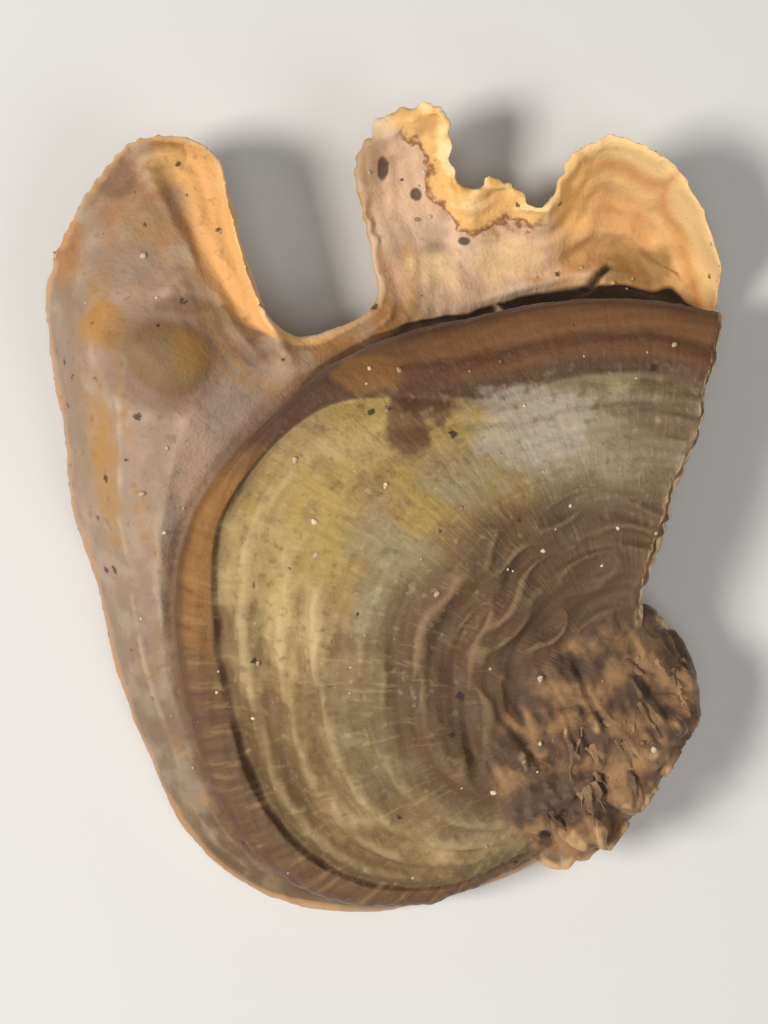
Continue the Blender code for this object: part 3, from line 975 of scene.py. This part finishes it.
# Ridges get a pale tone, partly wear and partly painted highlight. Hollows get painted shade.
ridge_wear_and_highlight_tone = layer(paint(208, 184, 136), paint(170, 136, 98), between(share_of, 0.56, 0.44))
ridge_wear_and_highlight = times(on_ridge, between(in_band_of, 0.2, -0.1), between(turn_here, 112, 128, 0.14, 0.4))
cap_colour = coats(
    layer(cap_colour, ridge_wear_and_highlight_tone, times(ridge_wear_and_highlight, between(turn_here, 196, 170, 0.5, 1))),
    ((84, 64, 44), times(hollow_shade, between(share_of, 0.56, 0.44, 0.4, 0.65))),
    ((100, 78, 52), times(between(fine, 0.55, 0.72), 0.42)),
    ((210, 188, 142), times(between(fine, 0.42, 0.25), far_out, 0.22)),
    ((52, 38, 30), times(pin_specks, 0.85)),
)
print("Wear laid over the cap")

# %% [markdown]
# ## The young growth
# The young growth is paler: dusty lavender brown on the left lobe, rust brown in the valley, rose on the
# torn tooth and peach on the right lobe. Ochre streaks run beside its margin.

# %% Young growth
CREAM = (252, 211, 146)
GOLDEN = (240, 184, 104)
PEACH = (224, 172, 112)
ROSE = (224, 182, 147)
OCHRE = (174, 124, 62)
OLIVE_OCHRE = (142, 108, 60)
RUST = (166, 114, 66)
TOOTH_SHADE = (142, 106, 74)
LAVENDER = (160, 134, 114)
MUSHROOM = (138, 115, 94)
DRAB_AND_SHADOW = (106, 82, 54)
# The low end of the left lobe is drab, partly its own tone and partly a painted shadow.
YOUNG_ROUND = [
    (70, PEACH), (92, PEACH), (102, ROSE), (114, ROSE), (124, RUST), (132, RUST),
    (141, LAVENDER), (158, LAVENDER), (178, MUSHROOM), (200, DRAB_AND_SHADOW), (250, DRAB_AND_SHADOW),
]

edge_of = map_of("from_edge")
beside = place_from(edge_of, 0.85, turn_of, 0.12)
ochre = times(between(clouds(1, 3, beside, seed=9), 0.5, 0.66), window(edge_of, 0.9, 1.5, 2.6, 3.6))
young_colour = coats(
    zones(turn_here, YOUNG_ROUND, *TURN_RANGE),
    ((188, 168, 146), times(between(middle, 0.42, 0.66), between(turn_of, 96, 112, 0.08, 0.35))),
    ((148, 122, 84), times(between(broad, 0.53, 0.68), 0.5)),
    (OCHRE, times(ochre, between(fine, 0.3, 0.6), 0.75)),
    # Ridges are painted lighter, partly wear and partly painted highlight. Hollows are darker as painted
    # shade.
    ((228, 206, 178), times(on_ridge, 0.35)),
    ((118, 88, 60), times(hollow_shade, 0.45)),
)
print("Young growth:", len(YOUNG_ROUND), "colours round the rim")

# %% [markdown]
# ## Marks and edges of the young growth
# Marks again: ochre and rust where the left lobe is worn, cream below the teeth, and painted shade in umber
# beside the tooth and dark brown by the horn's tip. On the right lobe lie a golden outer part and rings, an
# olive hollow that is partly painted shade, and a golden painted light at its left rim. A rose painted light
# lies in the left lobe's valley. Turned-up edges are thin and pale, and those that face right are painted
# warmer and lighter as painted light and glow, while those that face left stay dull. The torn edge shows
# golden flesh, pale at its rim with a painted highlight, and a red-brown line parts it from the skin.

# %% Marks
SPOT_BROWN = (64, 44, 36)
MARKS = [
    (-22, 12.5, 1.1, 4.6, MUSHROOM, 0.5), (-20.4, 14.1, 1, 1.3, OCHRE, 0.8),
    # The rose mark at (-16.9, 8.4) is painted light. It lightens the valley where the lobe turns away from
    # the lamp.
    (-20.4, 8.6, 0.6, 3.2, OCHRE, 0.6), (-16.9, 8.4, 0.9, 3.6, ROSE, 0.35),
    (-15.7, 14.6, 1.2, 0.7, OLIVE_OCHRE, 0.6), (-17.4, 14.9, 1.2, 0.4, DARK_BROWN, 0.4),
    (-14.6, 13.2, 1, 0.6, DARK_BROWN, 0.3), (-19, 18.6, 1.6, 1.1, RUST, 0.3),
    (-19.6, 16.6, 1.4, 1, MUSHROOM, 0.55), (-21.5, 15.3, 0.9, 0.8, MUSHROOM, 0.5),
    (-22, 17.2, 0.9, 1.6, RUST, 0.85), (0.5, 18.3, 1.1, 0.8, RUST, 0.22),
    # The dark brown mark at (-20, 20) is painted shade left of the horn's tip.
    (-20, 20, 1, 1, DARK_BROWN, 0.45), (-18.1, 20.3, 1.2, 0.9, GOLDEN, 0.5),
    # The umber mark at (-10.6, 20.8) is painted shade on the tooth's left shoulder.
    (-10.6, 20.8, 1.2, 1.6, TOOTH_SHADE, 0.65), (-10.7, 17.8, 0.7, 2.2, RUST, 0.7),
    (-7.6, 16.6, 1.3, 0.8, CREAM, 0.4), (-4.8, 17, 1.6, 1, CREAM, 0.45),
    # Painted light: the golden mark at (-2.3, 19.4) lightens a rim that slopes from the lamp. The olive ochre
    # hollow at (0.4, 16.8) is partly the lobe's tone and partly painted shade.
    (-2.3, 19.4, 0.9, 1.5, GOLDEN, 0.8), (0.4, 16.8, 2.3, 1, OLIVE_OCHRE, 0.85),
    (-3.5, 18.7, 0.2, 0.5, DARK_BROWN, 0.55),
]
SMALL_SPOTS = [
    (-9.7, 20.4, 0.24, 0.5, SPOT_BROWN, 0.85), (-8.4, 19.5, 0.24, 0.26, SPOT_BROWN, 0.85),
    (-6.5, 17.7, 0.3, 0.22, SPOT_BROWN, 0.85),
]
LOBE_RINGS = [
    (0, CREAM), (0.5, CREAM), (0.85, (222, 158, 94)), (1.2, (240, 194, 128)), (1.6, (230, 176, 110)),
    (2, (210, 150, 90)), (2.4, (218, 168, 106)), (3, (200, 146, 90)),
]

edge_here = unsteady(edge_of, 0.5)
lobe_part = times(between(turn_of, 101, 96), between(edge_here, 3.4, 2.6))
lobe_part = times(lobe_part, between(middle, 0.35, 0.6, 0.4, 0.85))
young_colour = layer(young_colour, zones(edge_here, LOBE_RINGS, 0, 3), lobe_part)
young_colour = marked(marked(young_colour, MARKS, 0.3), SMALL_SPOTS, 0.2)
blister_of = map_of("blister")
young_colour = coats(
    young_colour,
    ((126, 97, 62), times(blister_of, 0.85)),
    ((164, 118, 58), times(mark(-16.9, 13.4, 1.1, 1.4, 0.5), blister_of, 0.75)),
    # The crease and the ring round the blister are darkened as painted shade.
    ((118, 84, 58), times(map_of("crease"), 0.6)),
)
print("Marks on the young growth:", len(MARKS) + len(SMALL_SPOTS))

# %% Warm edges: pale margin, with painted light and glow on the sides that face right
edge_right = map_of("edge_right")
torn_edge = window(turn_of, 99, 102, 118, 121)
horn_lit_edge = times(window(turn_of, 121, 126, 139, 143), between(edge_right, 0.25, 0.6))
horn_lit_edge = times(horn_lit_edge, between(radius_of, 19, 23))
edge_share = count_up("DIVIDE", edge_here, plus(times(horn_lit_edge, 1.4), times(torn_edge, 0.3), 0.3))
dull_corner = plus(times(window(turn_of, 111.5, 113.5, 121, 124), -0.6), 1)
# Edges that face right are painted warmer and lighter, as painted light and glow. Those facing left stay
# dull.
lit_side_glow = times(between(edge_right, -0.75, -0.15, 0.25, 1), dull_corner)
lit_edge_part = times(between(turn_of, 150, 140, 0.5, 1.5), lit_side_glow)
edge_glow_tone = layer(paint(228, 168, 100), paint(*CREAM), torn_edge)
left_edge = times(between(edge_here, 0.4, 0.1), between(turn_of, 134, 146))
young_colour = coats(
    layer(young_colour, edge_glow_tone, times(between(edge_share, 1.25, 0.7), lit_edge_part, 0.65)),
    ((240, 202, 146), times(between(edge_here, 0.24, 0.06), lit_edge_part, 0.42)),
    ((208, 152, 98), times(left_edge, 0.45)),
)
print("Edges warmed")

# %% Torn flesh between the lobes
torn_flesh = times(torn_edge, between(turn_of, 113.6, 112))
tip_tear = times(mark(-7.9, 21.8, 1, 0.9, 0.5), 0.9)
torn_reach = plus(times(mark(-5.9, 19, 1.2, 1.9, 0.5), 0.8), tip_tear, 0.9)
torn_here = plus(edge_of, times(plus(middle, -0.5), 1.6), times(plus(fine, -0.5), 0.6))
torn_here = count_up("DIVIDE", torn_here, torn_reach)
flesh_line = times(window(torn_here, 0.72, 0.88, 1, 1.16), torn_flesh, between(fine, 0.25, 0.48))
inside_tear = times(between(torn_here, 1, 0.7), torn_flesh)
# The torn edge is pale at its rim, partly pale flesh and partly a painted highlight.
pale_tear_and_highlight = times(inside_tear, between(torn_here, 0.5, 0.15), between(middle, 0.58, 0.42))
# The right lobe's rolled rim is painted cream, partly its pale margin and partly a painted highlight on the
# crest.
rolled = times(between(turn_of, 99, 92), between(edge_here, 0.75, 0.35))
young_colour = coats(
    young_colour,
    ((132, 78, 46), times(flesh_line, 0.85)),
    (GOLDEN, times(inside_tear, 0.8)),
    (RUST, times(inside_tear, between(middle, 0.5, 0.66), 0.4)),
    ((255, 232, 176), times(pale_tear_and_highlight, 0.75)),
    (CREAM, times(rolled, 0.8)),
)
print("Torn flesh laid over the teeth")

# %% Specks, painted shade of the gap, and crack
gap_shade = between(map_of("inside_gap"), -0.07, 0.07)
young_colour = coats(
    young_colour,
    ((112, 84, 62), times(between(fine, 0.58, 0.74), between(turn_of, 98, 124, 0.1, 0.35))),
    ((60, 42, 34), times(pin_specks, 0.85)),
    # Painted shade: the gap is painted near black for the shadow in the slot under the rim, and the young
    # growth just outside the rim a soft brown for the shade it lies in.
    ((12, 8, 6), times(gap_shade, between(turn_of, 127, 119, 0.6, 0.98))),
    ((96, 66, 42), times(between(share_of, 1.035, 1.01), 0.6)),
    ((60, 38, 26), map_of("crack")),
)
young_of = map_of("young")
colour = layer(cap_colour, young_colour, young_of)
print("The young growth lies over the cap")

# %% [markdown]
# ## Pore side and torn flesh
# Underneath, fine pores make a cream to tan surface, with painted shade in their mouths. The break shows
# upright pore tubes, cream flesh with long fibres and the dark layer under the skin. The foot is brown,
# weathered flesh with pale torn tips and painted shade in its furrows.

# %% Pores
PORE = 0.24

pores = node("TexVoronoi", {"Vector": here, "Scale": 1 / PORE}, voronoi_dimensions="2D")
pore_depth = between(pores.outputs["Distance"], 0.46, 0.22)
pore_side = layer(paint(228, 194, 144), paint(206, 166, 114), between(broad, 0.4, 0.62))
under_of = map_of("under")
# Pore mouths are painted darker, as painted shade in the holes.
colour = layer(colour, coats(pore_side, ((146, 106, 66), times(pore_depth, 0.6))), under_of)
print("Pores are", PORE, "mm apart")

# %% Torn flesh of the broken side
FLESH_LAYERS = [
    (0, (192, 150, 100)), (0.28, (206, 166, 114)), (0.34, (168, 126, 82)), (0.42, (226, 192, 142)),
    (0.76, (230, 198, 150)), (0.86, (150, 112, 76)), (0.94, (86, 62, 44)), (1, (98, 74, 52)),
]

level_of = map_of("flesh_level")
height_of = node("SeparateXYZ", {"Vector": here}).outputs["Z"]
tubes = clouds(1, 2, place_from(radius_of, 6.5, height_of, 0.8), seed=31)
long_fibres = clouds(1, 3, place_from(radius_of, 0.7, height_of, 6.5), seed=33)
break_lines = layer(long_fibres, tubes, between(level_of, 0.42, 0.34))
break_colour = zones(unsteady(level_of, 0.35), FLESH_LAYERS)
break_colour = coats(break_colour, ((140, 102, 64), times(between(break_lines, 0.5, 0.66), 0.55)))
shade_left = count_up("SUBTRACT", 1, times(gap_shade, young_of))
colour = layer(colour, break_colour, times(map_of("broken"), shade_left))
print("Layers on the broken side:", len(FLESH_LAYERS))

# %% Torn flesh of the foot
tips = between(plus(ridge_of, times(plus(fine, -0.5), 0.16)), 0.1, 0.2)
foot_colour = coats(
    layer(paint(92, 70, 52), paint(156, 118, 80), between(middle, 0.38, 0.64)),
    # Furrows are painted darker, as painted shade in the hollows.
    ((62, 46, 34), times(between(ridge_of, -0.02, -0.14), 0.8)),
    ((196, 158, 110), times(tips, 0.7)),
)
foot_amount = between(unsteady(map_of("foot"), 0.5), 0.35, 0.75)
colour = layer(colour, foot_colour, times(foot_amount, count_up("SUBTRACT", 1, times(under_of, 0.6))))
print("Torn flesh laid over the foot")

# %% [markdown]
# ## Finish
# Dried skin is matt, with a faint silky sheen from its hairs. The finest hairs, grains and pores are too
# small for the mesh, so they are bumps in the shader.

# %% Shine and fine bumps
BUMP_HEIGHT = 0.05 * MM

hair_height = times(streaks, count_up("SUBTRACT", 1, under_of))
grain_height = times(clouds(0.16, 2, seed=14), 0.8)
pore_height = times(pore_depth, under_of, -1.2)
height = plus(hair_height, grain_height, pore_height)
bump = node("Bump", {"Distance": BUMP_HEIGHT, "Strength": 0.8, "Height": height})
feed(nodes["Principled BSDF"].inputs, {
    "Base Color": colour, "Roughness": plus(times(middle, 0.3), times(streaks, 0.15), 0.42),
    "Specular IOR Level": 0.35, "Sheen Weight": 0.12, "Sheen Roughness": 0.5,
    "Normal": bump.outputs["Normal"],
})
bracket.data.materials.append(skin)
print("The skin has", len(nodes), "nodes")

# %% [markdown]
# ## Splinters and crumbs
# They are matt torn flesh, brown to cream, and noise as wide as a whole piece gives each its own tone.


# %% Flesh of the small pieces
def small_flesh(name, dark, light, spot):
    """A matt material with dark and light spots of a given width in millimetres."""
    flesh = bpy.data.materials.new(name)
    flesh.use_nodes = True
    parts = flesh.node_tree.nodes
    place = node("TexCoord", {}, parts).outputs["Object"]
    tone = node("TexNoise", {"Vector": place, "Scale": 1 / (spot * MM), "Detail": 4}, parts).outputs["Fac"]
    colours = node("ValToRGB", {"Fac": tone}, parts)
    for element, position, tint in zip(colours.color_ramp.elements, (0.36, 0.66), (dark, light)):
        element.position = position
        element.color = paint(*tint)
    rough = node("Bump", {"Distance": 0.03 * MM, "Height": tone}, parts).outputs["Normal"]
    look = {"Base Color": colours.outputs["Color"], "Normal": rough, "Roughness": 0.8}
    feed(parts["Principled BSDF"].inputs, look)
    return flesh


torn_splinters.data.materials.append(small_flesh("torn_flesh", (88, 68, 50), (160, 126, 90), 1.2))
loose_crumbs.data.materials.append(small_flesh("crumb_flesh", (120, 88, 60), (236, 216, 180), 1.6))
print("Small pieces have their own flesh")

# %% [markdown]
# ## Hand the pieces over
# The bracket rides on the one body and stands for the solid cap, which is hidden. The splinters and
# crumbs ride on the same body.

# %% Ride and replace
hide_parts("cap")
for piece in (bracket, torn_splinters, loose_crumbs):
    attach(piece, "root")
